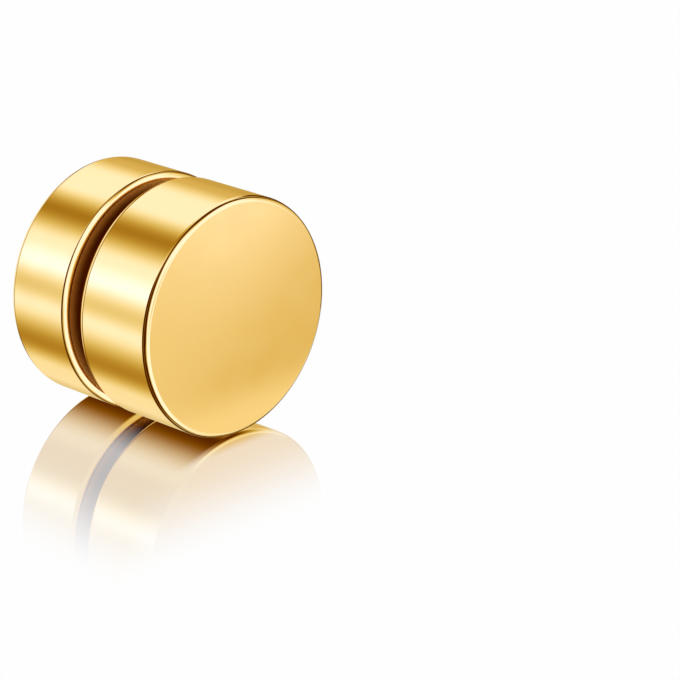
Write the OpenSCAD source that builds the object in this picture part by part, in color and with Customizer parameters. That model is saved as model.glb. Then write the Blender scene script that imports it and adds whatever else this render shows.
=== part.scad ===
// Magnetic stud earring, worn without a pierced ear and shown lying on its curved side.
// Millimetres. +Z is up, the axis of both halves runs along Y and the front face looks towards -Y.
// The origin lies on the surface, below the middle of the whole length.

/* [Caps] */
// Outer diameter of both caps
cap_d = 10; // [9:0.5:14]
// Length of the front cap, from its outer face to its open end
front_l = 3.9; // [3:0.05:6]
// Length of the back cap, from its outer face to its open end
back_l = 3.25; // [2.5:0.05:6]
// Thickness of the closed face of each cap
face_t = 0.7; // [0.4:0.05:1.2]
// Radius of the round edge at the outer face of each cap
outer_edge_r = 0.24; // [0.1:0.02:0.4]
// Radius of the round edge at the open end of each cap
inner_edge_r = 0.14; // [0.06:0.02:0.3]

/* [Groove] */
// Width of the groove that is left between the two caps
groove_w = 0.9; // [0.4:0.05:2]
// Clearance between the poles of the two magnets, in the middle of the groove
pole_gap = 0.02; // [0.01:0.01:0.1]

/* [Magnets] */
// Diameter of both disc magnets
magnet_d = 7.5; // [5:0.1:8.2]
// Radius of the round edges of each magnet
magnet_edge_r = 0.12; // [0.04:0.02:0.3]
// Clearance of each magnet in its pocket, round its side and below it
pocket_gap = 0.03; // [0.01:0.01:0.1]

/* [Hidden] */
$fn = 96;

gold = [0.93, 0.74, 0.38];
nickel = [0.72, 0.72, 0.71];

// Past the open end, so that the pocket is cut clean
cut_over = 1;
// Turn of every piece about the axis, which sets where the seam of its round surfaces lies
seam_turn = 1.27;

whole_l = front_l + groove_w + back_l;
axis_z = cap_d / 2;
front_face_y = -whole_l / 2;
back_face_y = whole_l / 2;

pocket_d = magnet_d + 2 * pocket_gap;
pole_reach = (groove_w - pole_gap) / 2;

// Half outline of a turned piece. X is the radius and Y runs along the axis.
module turned_outline(d, l, start_r, end_r) {
    translate([0, start_r]) square([d / 2, l - start_r - end_r]);
    square([d / 2 - start_r, l / 2]);
    translate([0, l / 2]) square([d / 2 - end_r, l / 2]);
    translate([d / 2 - start_r, start_r]) circle(r = start_r);
    translate([d / 2 - end_r, l - end_r]) circle(r = end_r);
}

// A cup that stands on its closed face, with the magnet's pocket open at the top
module cap(l) {
    difference() {
        rotate_extrude() turned_outline(cap_d, l, outer_edge_r, inner_edge_r);
        translate([0, 0, face_t]) cylinder(d = pocket_d, h = l - face_t + cut_over);
    }
}

// The disc that sits in the pocket of a cap of length l and stands proud of it by half the groove
module magnet(l) {
    seat_z = face_t + pocket_gap;
    magnet_l = l - seat_z + pole_reach;
    translate([0, 0, seat_z])
        rotate_extrude() turned_outline(magnet_d, magnet_l, magnet_edge_r, magnet_edge_r);
}

// Lays a front piece on its side, with its closed face at the front
module lay_front() {
    translate([0, front_face_y, axis_z]) rotate([-90, seam_turn, 0]) children();
}

// Lays a back piece on its side, with its closed face at the back
module lay_back() {
    translate([0, back_face_y, axis_z]) rotate([90, seam_turn, 0]) children();
}

module front_cap() {
    color(gold) lay_front() cap(front_l);
}

module front_magnet() {
    color(nickel) lay_front() magnet(front_l);
}

module back_cap() {
    color(gold) lay_back() cap(back_l);
}

module back_magnet() {
    color(nickel) lay_back() magnet(back_l);
}

front_cap();
front_magnet();
back_cap();
back_magnet();
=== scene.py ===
# A gold magnetic stud earring, lying on its side on a white floor with a mirror gloss.
# Metres. The axis of both halves runs along Y and the front face looks towards -Y.
import math
from collections import namedtuple

import bpy
from mathutils import Matrix, Vector


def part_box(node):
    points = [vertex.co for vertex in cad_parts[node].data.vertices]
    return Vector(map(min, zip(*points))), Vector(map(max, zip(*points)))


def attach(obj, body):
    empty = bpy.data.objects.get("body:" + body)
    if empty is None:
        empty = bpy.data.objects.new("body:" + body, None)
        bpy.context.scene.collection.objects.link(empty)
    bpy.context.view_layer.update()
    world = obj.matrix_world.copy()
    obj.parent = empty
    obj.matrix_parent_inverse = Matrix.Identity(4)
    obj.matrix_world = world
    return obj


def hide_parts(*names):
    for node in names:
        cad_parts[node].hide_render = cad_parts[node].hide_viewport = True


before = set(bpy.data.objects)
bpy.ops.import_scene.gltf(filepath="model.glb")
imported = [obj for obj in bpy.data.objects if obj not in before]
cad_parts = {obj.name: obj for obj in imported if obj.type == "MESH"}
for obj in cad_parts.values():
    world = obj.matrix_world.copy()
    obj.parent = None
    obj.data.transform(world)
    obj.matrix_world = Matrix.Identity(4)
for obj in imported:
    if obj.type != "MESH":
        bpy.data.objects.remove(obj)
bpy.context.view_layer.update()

MM = 0.001
MICRON = 0.000001

# Sizes that the frame gives
FRONT_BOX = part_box("front_cap")
BACK_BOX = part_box("back_cap")
FRONT_MAGNET_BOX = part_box("front_magnet")
BACK_MAGNET_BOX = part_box("back_magnet")
CAP_RADIUS = (FRONT_BOX[1].z - FRONT_BOX[0].z) / 2
AXIS_HEIGHT = (FRONT_BOX[1].z + FRONT_BOX[0].z) / 2
MAGNET_RADIUS = (FRONT_MAGNET_BOX[1].z - FRONT_MAGNET_BOX[0].z) / 2

# Caps
OUTER_EDGE_RADIUS = 0.24 * MM
FACE_CROWN = 0.08 * MM
MOUTH_EDGE_RADIUS = 0.05 * MM
POCKET_CLEARANCE = 0.03 * MM
POCKET_CORNER_RADIUS = 0.1 * MM

# Rounds of the lip at the open end of each cap, from its side inwards: (radius, angle that it turns to)
LIP_ROUNDS = {
    "front": ((0.4 * MM, 32), (0.08 * MM, 90)),
    "back": ((0.1 * MM, 50), (0.6 * MM, 66), (0.3 * MM, 90)),
}

# Magnets
MAGNET_EDGE_RADIUS = 0.12 * MM

# Fineness of the turned pieces: steps round the axis, in a quarter turn of an edge and across the face
SEGMENTS = 288
EDGE_STEPS = 16
SMALL_EDGE_STEPS = 6
FACE_RINGS = 8

# Slots of the materials on a cap, and on a magnet
SATIN_SLOT, POLISHED_SLOT, GROOVE_SLOT = range(3)
NICKEL_SLOT = 0

# Camera, which looks past the middle of the front face by the two aims
CAMERA_TURN = -46.27
CAMERA_RISE = 20.28
CAMERA_DISTANCE = 117.7 * MM
AIM_RIGHT = 4.09 * MM
AIM_DOWN = 0.87 * MM
CAMERA_LENS = 155.8
CAMERA_SENSOR = 36
CAMERA_NEAREST = 1 * MM
CAMERA_FURTHEST = 10

# Colours of the metals, as light of each colour that they reflect
GOLD_COLOUR = (1.0, 0.76, 0.34, 1)
SATIN_COLOUR = (1.0, 0.69, 0.25, 1)
GOLD_EDGE_COLOUR = (1.0, 0.9, 0.7, 1)
# Warmer gold painted into the groove: painted light for the light that bounces between the gold walls
# there
GROOVE_BOUNCE_PAINTED_COLOUR = (1.0, 0.6, 0.14, 1)
# Dark brown painted deep in the groove towards the magnet: painted shade of the recess
RECESS_PAINTED_SHADE_COLOUR = (0.22, 0.06, 0.004, 1)
NICKEL_COLOUR = (0.74, 0.72, 0.68, 1)
PLATED_COLOUR = (0.95, 0.6, 0.25, 1)
WHITE = (1, 1, 1, 1)

# Radii between which one colour gives way to another
# In the groove, where the painted shade of the recess sets in, from near the lip towards the magnet
GROOVE_PAINTED_SHADE_RADII = (CAP_RADIUS - 0.26 * MM, CAP_RADIUS - 0.8 * MM)
PLATED_RADII = (MAGNET_RADIUS - 0.04 * MM, MAGNET_RADIUS - 0.16 * MM)

# Finish of each gold: its roughness, how far that spreads, and the size and depth of its grain
Finish = namedtuple("Finish", "roughness spread grain_size grain_depth")
SATIN_FINISH = Finish(0.18, 0.02, 0.07 * MM, 0.4 * MICRON)
POLISHED_FINISH = Finish(0.08, 0.02, 0.1 * MM, 0.02 * MICRON)
GROOVE_FINISH = Finish(0.6, 0.03, 0.07 * MM, 0.3 * MICRON)
CLOUD_SCALE = 900
CLOUD_DETAIL = 2
GRAIN_DETAIL = 3
NOISE_RANGE = (0.3, 0.7)

# Finish of the nickel
NICKEL_GRAIN_SCALE = 9000
NICKEL_GRAIN_DEPTH = 0.3 * MICRON
NICKEL_ROUGHNESS = (0.26, 0.34)

# In the studio a direction has the parts x, to the right, y, to the back, and z, up. A pair of
# numbers there is where a soft step starts and ends.

# What the polished sides see: (angle about the axis from +X over the top, tone)
SIDE_BANDS = (
    (0, 0.6),
    (20, 0.7),
    (50, 1.1),
    (78, 1.1),
    (107, 0.4),
    (138, 1.1),
    (160, 1.25),
    (184, 0.85),
    (202, 1.1),
    (242, 0.45),
    (272, 1.0),
    (290, 1.0),
    (315, 0.8),
    (340, 0.6),
)

# The same for the sides in their image in the floor
IMAGE_BANDS = (
    (0, 0.7),
    (170, 0.85),
    (188, 1.15),
    (215, 0.7),
    (235, 0.7),
    (250, 0.8),
    (306, 0.1),
    (340, 0.9),
)

# The front wall: its tones in front and far to the right, and the x between them
FRONT_WALL = 1.15
FRONT_WALL_RIGHT = 0.85
FRONT_WALL_FADE = (0.68, 0.9)

# Where the unlit belt ends and the front wall starts: (angle, how far forward of the middle)
BELT_EDGES = (
    (0, 0.0),
    (28, 0.33),
    (43, 0.47),
    (65, 0.74),
    (117, 0.5),
    (158, 0.62),
    (207, 0.74),
    (240, 0.62),
    (275, 0.35),
    (293, 0.12),
    (308, 0.28),
    (330, 0.45),
    (342, 0.35),
)
BELT_SOFTNESS = 0.15

# Places in the front wall with a tone of their own: (direction, inner angle, outer angle, tone)
FRONT_SPOTS = (
    ((0.69, -0.575, -0.46), 3, 13, 0.68),
    ((0.755, -0.553, -0.373), 2, 11, 0.78),
    ((0.555, -0.772, -0.345), 2, 8, 0.9),
    ((-0.64, -0.64, -0.42), 4, 10, 0.65),
    ((0.0, -1.0, -0.05), 7, 17, 0.9),
)

# The unlit belt: its tones low down, high up, and high up in front, and the z and y between them
UNLIT_LOW = 0.06
UNLIT_HIGH = 0.09
UNLIT_FRONT = 0.28
UNLIT_RISE = (0.2, 0.7)
UNLIT_FORWARD = (-0.55, -0.65)

# The stripe in the belt: how far off the middle it ends, the x from its left tone to the bands, and
# how bright the bands are there
STRIPE_EDGE = (0.09, 0.06)
STRIPE_LEFT = 0.28
STRIPE_FADE = (-0.5, 0.1)
STRIPE_BANDS = 0.8

# The lights behind: where they start low down, and the z over which they come forward to the middle
REAR_START = 0.57
REAR_RISE = (0.25, 0.95)
REAR_SOFTNESS = 0.045

# The dark rim and the wall past the lights behind: tone, and the y where it sets in
REAR_RIM = 0.15
REAR_RIM_START = (0.73, 0.8)
REAR_WALL = 1.0
REAR_WALL_START = (0.84, 0.9)

# The image in the floor: bounces of a ray past which it counts as one, and the tone of the image of
# what lies in front, with the y where that sets in
IMAGE_BOUNCES = 2.5
IMAGE_FRONT = 0.78
IMAGE_FRONT_START = (-0.3, -0.6)

# Powers of a tone that give its green and its blue, so that dim light is warm
GREEN_POWER = 1.6
BLUE_POWER = 4.0

# White of the floor and the backdrop
PLAIN_WHITE = 0.99

# Floor. Its gloss goes from full to half and then to none, beside the earring and past its ends.
FLOOR_REACH = 3.0
GLOSS_MIDDLE = 4 * MM
GLOSS_HALF_LENGTH = 8 * MM
GLOSS_BESIDE = ((2 * MM, 5 * MM), (6.5 * MM, 13.5 * MM))
GLOSS_PAST_END = ((0.1 * MM, 1.2 * MM), (1 * MM, 7.5 * MM))
HALF_GLOSS = 0.5

# Light off the floor before the front face: its sheet, how it fades, colour and strength
BOUNCE_LENGTH = 8 * MM
BOUNCE_LEFT = -3 * MM
BOUNCE_RIGHT = 15 * MM
BOUNCE_HEIGHT = -0.02 * MM
BOUNCE_NEAR_EDGE = (0.1 * MM, 0.4 * MM)
BOUNCE_FAR_EDGE = (1 * MM, 4.5 * MM)
BOUNCE_LEFT_EDGE = (BOUNCE_LEFT, BOUNCE_LEFT + 1.5 * MM)
BOUNCE_SHARE = 0.9
BOUNCE_COLOUR = (1.0, 0.98, 0.9, 1)


def turned(name, stations, start_y, direction, materials):
    """A solid of revolution about the axis. A station is (radius, depth, normal, material slot)."""
    vertices, normals, rings = [], [], []
    for radius, depth, normal, _ in stations:
        y = start_y + direction * depth
        count = 1 if radius == 0 else SEGMENTS
        ring = []
        for step in range(count):
            angle = 2 * math.pi * step / SEGMENTS
            out = Vector((math.cos(angle), 0, math.sin(angle)))
            ring.append(len(vertices))
            vertices.append(out * radius + Vector((0, y, AXIS_HEIGHT)))
            normals.append(out * normal[0] + Vector((0, direction * normal[1], 0)))
        rings.append(ring)
    faces, slots = [], []
    for first, second, (_, _, _, slot) in zip(rings, rings[1:], stations):
        for step in range(SEGMENTS):
            after = (step + 1) % SEGMENTS
            if len(first) == 1:
                face = [first[0], second[after], second[step]]
            elif len(second) == 1:
                face = [first[step], first[after], second[0]]
            else:
                face = [first[step], first[after], second[after], second[step]]
            faces.append(face if direction < 0 else face[::-1])
            slots.append(slot)
    mesh = bpy.data.meshes.new(name)
    mesh.from_pydata(vertices, [], faces)
    mesh.polygons.foreach_set("material_index", slots)
    mesh.polygons.foreach_set("use_smooth", [True] * len(faces))
    mesh.normals_split_custom_set_from_vertices([normal.normalized() for normal in normals])
    for material in materials:
        mesh.materials.append(material)
    mesh.validate()
    piece = bpy.data.objects.new(name, mesh)
    bpy.context.scene.collection.objects.link(piece)
    return piece


def arc(centre, radius, start, end, steps, slot, hollow=False):
    """Stations along an arc of radius and depth. The normals look outwards or, if hollow, inwards."""
    stations = []
    sign = -1 if hollow else 1
    for step in range(steps + 1):
        angle = math.radians(start + (end - start) * step / steps)
        outward = Vector((math.cos(angle), math.sin(angle)))
        place = Vector(centre) + outward * radius
        stations.append((place.x, place.y, outward * sign, slot))
    return stations


def lip_stations(length, rounds):
    """The lip at the open end. Each round runs on smoothly from the one before."""
    centre = Vector((CAP_RADIUS - rounds[0][0], 0))
    centres = [centre]
    for (radius, turn), (next_radius, _) in zip(rounds, rounds[1:]):
        joint = math.radians(turn)
        centre = centre - Vector((math.cos(joint), math.sin(joint))) * (next_radius - radius)
        centres.append(centre)
    shift = Vector((0, length - rounds[-1][0] - centre.y))
    stations, start = [], 0
    for centre, (radius, turn) in zip(centres, rounds):
        steps = SMALL_EDGE_STEPS + EDGE_STEPS * (turn - start) // 90
        already_there = 1 if stations else 0
        stations += arc(centre + shift, radius, start, turn, steps, POLISHED_SLOT)[already_there:]
        start = turn
    return stations


def face_stations(radius, slope):
    """The crowned outer face, from its middle to the start of its edge."""
    stations = []
    for ring in range(FACE_RINGS):
        share = ring / FACE_RINGS
        tilt = slope * share
        normal = Vector((math.sin(tilt), -math.cos(tilt)))
        stations.append((radius * share, FACE_CROWN * (share**2 - 1), normal, SATIN_SLOT))
    stations.append((radius, 0, Vector((math.sin(slope), -math.cos(slope))), POLISHED_SLOT))
    return stations


def pocket_stations(length, magnet_seat):
    """The pocket, from the round of its mouth to the middle of its floor."""
    radius = MAGNET_RADIUS + POCKET_CLEARANCE
    depth = magnet_seat - POCKET_CLEARANCE
    mouth_centre = (radius + MOUTH_EDGE_RADIUS, length - MOUTH_EDGE_RADIUS)
    stations = arc(mouth_centre, MOUTH_EDGE_RADIUS, 90, 180, SMALL_EDGE_STEPS, GROOVE_SLOT)
    corner_centre = (radius - POCKET_CORNER_RADIUS, depth + POCKET_CORNER_RADIUS)
    stations += arc(
        corner_centre, POCKET_CORNER_RADIUS, 0, -90, SMALL_EDGE_STEPS, GROOVE_SLOT, hollow=True
    )
    stations.append((0, depth, Vector((0, 1)), GROOVE_SLOT))
    return stations


def cap_stations(length, magnet_seat, lip_rounds):
    """The outline of a cap, from the middle of its outer face round its side into its pocket."""
    slope = math.atan(2 * FACE_CROWN / (CAP_RADIUS - OUTER_EDGE_RADIUS))
    edge_centre = (CAP_RADIUS - OUTER_EDGE_RADIUS, OUTER_EDGE_RADIUS * math.cos(slope))
    face_turn = math.degrees(slope) - 90
    stations = face_stations(edge_centre[0] + OUTER_EDGE_RADIUS * math.sin(slope), slope)
    stations += arc(edge_centre, OUTER_EDGE_RADIUS, face_turn, 0, EDGE_STEPS, POLISHED_SLOT)[1:]
    stations += lip_stations(length, lip_rounds)
    stations[-1] = stations[-1][:3] + (GROOVE_SLOT,)
    return stations + pocket_stations(length, magnet_seat)


def magnet_stations(start, length):
    """The outline of a magnet, from the middle of its seat round its side to the middle of its pole."""
    radius = MAGNET_RADIUS - MAGNET_EDGE_RADIUS
    seat_centre = (radius, start + MAGNET_EDGE_RADIUS)
    pole_centre = (radius, start + length - MAGNET_EDGE_RADIUS)
    stations = [(0, start, Vector((0, -1)), NICKEL_SLOT)]
    stations += arc(seat_centre, MAGNET_EDGE_RADIUS, -90, 0, SMALL_EDGE_STEPS, NICKEL_SLOT)
    stations += arc(pole_centre, MAGNET_EDGE_RADIUS, 0, 90, SMALL_EDGE_STEPS, NICKEL_SLOT)
    stations.append((0, start + length, Vector((0, 1)), NICKEL_SLOT))
    return stations


def new_tree(owner):
    owner.use_nodes = True
    owner.node_tree.nodes.clear()
    return owner.node_tree


def node(tree, kind, inputs=None, **settings):
    """A node with its settings and its inputs, which are values or the sockets that they come from."""
    made = tree.nodes.new("ShaderNode" + kind)
    for name, value in settings.items():
        setattr(made, name, value)
    for name, value in (inputs or {}).items():
        if isinstance(value, bpy.types.NodeSocket):
            tree.links.new(value, made.inputs[name])
        else:
            made.inputs[name].default_value = value
    return made


def maths(tree, operation, first, second=0.0):
    return node(tree, "Math", {0: first, 1: second}, operation=operation).outputs[0]


def smooth_range(tree, value, start, end, low=0.0, high=1.0):
    """Low where the value is at start, high where it is at end, and a soft step between them."""
    inputs = {"Value": value, "From Min": start, "From Max": end, "To Min": low, "To Max": high}
    return node(tree, "MapRange", inputs, interpolation_type="SMOOTHSTEP").outputs[0]


def mix(tree, share, first, second):
    inputs = {"Factor": share, "A": first, "B": second}
    return node(tree, "Mix", inputs, data_type="FLOAT").outputs[0]


def noise(tree, place, scale, detail):
    return node(tree, "TexNoise", {"Vector": place, "Scale": scale, "Detail": detail}).outputs["Fac"]


def band_ramp(tree, turn, bands):
    """Tones by angle, in degrees, eased from one to the next right round the axis."""
    ramp = node(tree, "ValToRGB", {"Fac": turn})
    elements = ramp.color_ramp.elements
    ramp.color_ramp.interpolation = "EASE"
    elements[0].position = 0
    elements[1].position = 1
    for element in elements:
        element.color = (bands[0][1],) * 3 + (1,)
    for angle, tone in bands[1:]:
        elements.new(angle / 360).color = (tone,) * 3 + (1,)
    return ramp.outputs[0]


def end_in_mix(tree, output, share, first, second):
    """Ends a tree in two shaders, mixed by the share of the second."""
    shader = node(tree, "MixShader", {0: share, 1: first.outputs[0], 2: second.outputs[0]})
    tree.links.new(shader.outputs[0], node(tree, output).inputs[0])


def end_in_metal(tree, colour, roughness, grain, grain_depth, edge_colour):
    """Ends a material in metal whose surface rises and falls with the grain."""
    bump = node(tree, "Bump", {"Height": grain, "Strength": 1, "Distance": grain_depth}).outputs[0]
    inputs = {"Base Color": colour, "Metallic": 1.0, "Roughness": roughness, "Normal": bump}
    shader = node(tree, "BsdfPrincipled", {**inputs, "Specular Tint": edge_colour})
    tree.links.new(shader.outputs[0], node(tree, "OutputMaterial").inputs[0])


def new_material(name):
    """A material, its empty tree, and the place on the piece."""
    material = bpy.data.materials.new(name)
    tree = new_tree(material)
    return material, tree, node(tree, "TexCoord").outputs["Object"]


def end_in_gold(tree, place, colour, finish):
    """Ends a material in gold. Its roughness drifts a little from place to place."""
    roughest = finish.roughness + finish.spread
    smoothest = finish.roughness - finish.spread
    cloud = noise(tree, place, CLOUD_SCALE, CLOUD_DETAIL)
    roughness = smooth_range(tree, cloud, *NOISE_RANGE, smoothest, roughest)
    grain = noise(tree, place, 1 / finish.grain_size, GRAIN_DETAIL)
    end_in_metal(tree, colour, roughness, grain, finish.grain_depth, GOLD_EDGE_COLOUR)


def colour_by_radius(tree, place, radii, outer_colour, inner_colour):
    """The outer colour past the first radius about the axis, and the inner one within the second."""
    axes = node(tree, "SeparateXYZ", {0: place}).outputs
    above = maths(tree, "SUBTRACT", axes["Z"], AXIS_HEIGHT)
    across = node(tree, "CombineXYZ", {"X": axes["X"], "Z": above}).outputs[0]
    reach = node(tree, "VectorMath", {0: across}, operation="LENGTH").outputs["Value"]
    inputs = {"Fac": smooth_range(tree, reach, *radii), "Color1": outer_colour, "Color2": inner_colour}
    return node(tree, "MixRGB", inputs).outputs[0]


def gold_material(name, colour, finish):
    material, tree, place = new_material(name)
    end_in_gold(tree, place, colour, finish)
    return material


def groove_material_with_painted_shade():
    """Gold that nobody polishes, with a warmer painted colour for the light that bounces in the groove
    and painted shade that browns it towards the magnet.
    """
    material, tree, place = new_material("groove_gold_painted_shade")
    # Painted shade: the groove's gold turns dark brown towards the magnet
    colour = colour_by_radius(tree, place, GROOVE_PAINTED_SHADE_RADII, GROOVE_BOUNCE_PAINTED_COLOUR, RECESS_PAINTED_SHADE_COLOUR)
    end_in_gold(tree, place, colour, GROOVE_FINISH)
    return material


def nickel_material():
    """Nickel on the pole, plated with gold round its side."""
    material, tree, place = new_material("magnet_nickel")
    colour = colour_by_radius(tree, place, PLATED_RADII, PLATED_COLOUR, NICKEL_COLOUR)
    grain = noise(tree, place, NICKEL_GRAIN_SCALE, GRAIN_DETAIL)
    roughness = smooth_range(tree, grain, *NOISE_RANGE, *NICKEL_ROUGHNESS)
    end_in_metal(tree, colour, roughness, grain, NICKEL_GRAIN_DEPTH, WHITE)
    return material


def build_half(half, cap_box, magnet_box, direction, golds, nickel):
    """A cap and its magnet. The direction runs from the closed face to the open end, along Y."""
    face = 0 if direction > 0 else 1
    face_y = cap_box[face].y
    seat = abs(magnet_box[face].y - face_y)
    length = cap_box[1].y - cap_box[0].y
    magnet_length = magnet_box[1].y - magnet_box[0].y
    outline = cap_stations(length, seat, LIP_ROUNDS[half])
    cap = turned(half + "_cap_gold", outline, face_y, direction, golds)
    outline = magnet_stations(seat, magnet_length)
    magnet = turned(half + "_magnet_nickel", outline, face_y, direction, (nickel,))
    for piece, node_name, slot in (
        (cap, half + "_cap", half + "_gold"),
        (magnet, half + "_magnet", "magnet_nickel"),
    ):
        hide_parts(node_name)
        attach(piece, half)


def build_earring():
    golds = (
        gold_material("satin_gold", SATIN_COLOUR, SATIN_FINISH),
        gold_material("polished_gold", GOLD_COLOUR, POLISHED_FINISH),
        groove_material_with_painted_shade(),
    )
    nickel = nickel_material()
    build_half("front", FRONT_BOX, FRONT_MAGNET_BOX, 1, golds, nickel)
    build_half("back", BACK_BOX, BACK_MAGNET_BOX, -1, golds, nickel)


def spot_share(tree, direction, centre, inner, outer):
    """1 within the inner angle of the centre, 0 outside the outer one."""
    inputs = {0: direction, 1: Vector(centre).normalized()}
    nearness = node(tree, "VectorMath", inputs, operation="DOT_PRODUCT").outputs["Value"]
    return smooth_range(tree, nearness, math.cos(math.radians(outer)), math.cos(math.radians(inner)))


def belt_tone(tree, x, y, z, sides):
    """The unlit belt round the middle, with a narrow stripe that a view from the side sees."""
    high = smooth_range(tree, y, *UNLIT_FORWARD, UNLIT_HIGH, UNLIT_FRONT)
    belt = smooth_range(tree, z, *UNLIT_RISE, UNLIT_LOW, high)
    stripe = smooth_range(tree, maths(tree, "ABSOLUTE", y), *STRIPE_EDGE)
    dimmed = maths(tree, "MULTIPLY", sides, STRIPE_BANDS)
    stripe_tone = mix(tree, smooth_range(tree, x, *STRIPE_FADE), STRIPE_LEFT, dimmed)
    return mix(tree, stripe, belt, stripe_tone)


def front_tone(tree, direction, x, past_edge, belt):
    """The belt, and past its edge the front wall with its spots."""
    wall = smooth_range(tree, x, *FRONT_WALL_FADE, FRONT_WALL, FRONT_WALL_RIGHT)
    front = mix(tree, smooth_range(tree, past_edge, BELT_SOFTNESS, -BELT_SOFTNESS), belt, wall)
    for centre, inner, outer, tone in FRONT_SPOTS:
        front = mix(tree, spot_share(tree, direction, centre, inner, outer), front, tone)
    return front


def rear_tone(tree, y, z, front, sides):
    """The lights behind, which reach further forward above, with a dark rim and a wall past them."""
    start = smooth_range(tree, z, *REAR_RISE, REAR_START, 0)
    behind = maths(tree, "SUBTRACT", y, start)
    tone = mix(tree, smooth_range(tree, behind, -REAR_SOFTNESS, REAR_SOFTNESS), front, sides)
    tone = mix(tree, smooth_range(tree, y, *REAR_RIM_START), tone, REAR_RIM)
    return mix(tree, smooth_range(tree, y, *REAR_WALL_START), tone, REAR_WALL)


def make_world():
    """The studio that the gold mirrors. The camera and the floor's mirror see plain white."""
    world = bpy.data.worlds.new("studio")
    bpy.context.scene.world = world
    tree = new_tree(world)
    path = node(tree, "LightPath").outputs
    direction = node(tree, "TexCoord").outputs["Generated"]
    x, y, z = node(tree, "SeparateXYZ", {0: direction}).outputs
    turn = maths(tree, "FRACT", maths(tree, "DIVIDE", maths(tree, "ARCTAN2", z, x), 2 * math.pi))
    sides = band_ramp(tree, turn, SIDE_BANDS)
    belt = belt_tone(tree, x, y, z, sides)
    past_edge = maths(tree, "ADD", y, band_ramp(tree, turn, BELT_EDGES))
    front = front_tone(tree, direction, x, past_edge, belt)
    tone = rear_tone(tree, y, z, front, sides)
    # The image in the floor has tones of its own, and so does what one cap mirrors of another
    image = maths(tree, "GREATER_THAN", path["Ray Depth"], IMAGE_BOUNCES)
    image_sides = band_ramp(tree, turn, IMAGE_BANDS)
    image_tone = mix(tree, smooth_range(tree, y, *IMAGE_FRONT_START), image_sides, IMAGE_FRONT)
    tone = mix(tree, image, tone, image_tone)
    green = maths(tree, "POWER", tone, GREEN_POWER)
    blue = maths(tree, "POWER", tone, BLUE_POWER)
    warm = node(tree, "CombineXYZ", {0: tone, 1: green, 2: blue}).outputs[0]
    studio = node(tree, "Background", {"Color": warm, "Strength": 1.0})
    plain = node(tree, "Background", {"Color": WHITE, "Strength": PLAIN_WHITE})
    seen = maths(tree, "MAXIMUM", path["Is Camera Ray"], path["Is Singular Ray"])
    end_in_mix(tree, "OutputWorld", seen, studio, plain)


def flat_sheet(name, left, right, front, back, height):
    mesh = bpy.data.meshes.new(name)
    corners = [(left, front, height), (right, front, height), (right, back, height), (left, back, height)]
    mesh.from_pydata(corners, [], [(0, 1, 2, 3)])
    sheet = bpy.data.objects.new(name, mesh)
    bpy.context.scene.collection.objects.link(sheet)
    return sheet


def make_floor():
    """A white floor with a mirror gloss about the earring, which the gold doesn't see."""
    floor = flat_sheet("floor", -FLOOR_REACH, FLOOR_REACH, -FLOOR_REACH, FLOOR_REACH, 0)
    material, tree, place = new_material("white_gloss")
    x, y, _ = node(tree, "SeparateXYZ", {0: place}).outputs
    beside = maths(tree, "ABSOLUTE", x)
    off_middle = maths(tree, "ABSOLUTE", maths(tree, "SUBTRACT", y, GLOSS_MIDDLE))
    past_end = maths(tree, "SUBTRACT", off_middle, GLOSS_HALF_LENGTH)
    glosses = []
    for distance, (to_half, to_none) in ((beside, GLOSS_BESIDE), (past_end, GLOSS_PAST_END)):
        near = smooth_range(tree, distance, *to_half, 1, HALF_GLOSS)
        far = smooth_range(tree, distance, *to_none, 1, 0)
        glosses.append(maths(tree, "MULTIPLY", near, far))
    gloss = maths(tree, "MINIMUM", *glosses)
    white = node(tree, "Emission", {"Color": WHITE, "Strength": PLAIN_WHITE})
    mirror = node(tree, "BsdfAnisotropic", {"Color": WHITE, "Roughness": 0.0})
    end_in_mix(tree, "OutputMaterial", gloss, white, mirror)
    floor.data.materials.append(material)
    floor.visible_glossy = False
    floor.visible_diffuse = False


def make_bounce():
    """Light off the floor just before the front face, which the camera doesn't see."""
    start = FRONT_BOX[0].y
    card = flat_sheet(
        "floor_bounce", BOUNCE_LEFT, BOUNCE_RIGHT, start - BOUNCE_LENGTH, start, BOUNCE_HEIGHT
    )
    material, tree, place = new_material("floor_bounce")
    x, y, _ = node(tree, "SeparateXYZ", {0: place}).outputs
    ahead = maths(tree, "SUBTRACT", start, y)
    near_edge = smooth_range(tree, ahead, *BOUNCE_NEAR_EDGE)
    far_edge = smooth_range(tree, ahead, *BOUNCE_FAR_EDGE, BOUNCE_SHARE, 0)
    left_edge = smooth_range(tree, x, *BOUNCE_LEFT_EDGE)
    share = maths(tree, "MULTIPLY", maths(tree, "MULTIPLY", near_edge, far_edge), left_edge)
    glow = node(tree, "Emission", {"Color": BOUNCE_COLOUR, "Strength": 1.0})
    clear = node(tree, "BsdfTransparent")
    end_in_mix(tree, "OutputMaterial", share, clear, glow)
    card.data.materials.append(material)
    card.visible_camera = False
    card.visible_shadow = False


def make_camera():
    turn, rise = math.radians(CAMERA_TURN), math.radians(CAMERA_RISE)
    back = Vector((math.sin(turn) * math.cos(rise), -math.cos(turn) * math.cos(rise), math.sin(rise)))
    right = Vector((math.cos(turn), math.sin(turn), 0))
    up = back.cross(right)
    face_centre = Vector((0, FRONT_BOX[0].y, AXIS_HEIGHT))
    data = bpy.data.cameras.new("camera")
    data.lens = CAMERA_LENS
    data.sensor_width = CAMERA_SENSOR
    data.clip_start = CAMERA_NEAREST
    data.clip_end = CAMERA_FURTHEST
    camera = bpy.data.objects.new("camera", data)
    bpy.context.scene.collection.objects.link(camera)
    place = face_centre + right * AIM_RIGHT - up * AIM_DOWN + back * CAMERA_DISTANCE
    camera.matrix_world = Matrix.Translation(place) @ Matrix((right, up, back)).transposed().to_4x4()
    bpy.context.scene.camera = camera


build_earring()
make_world()
make_floor()
make_bounce()
make_camera()
bpy.context.scene.view_settings.view_transform = "Standard"
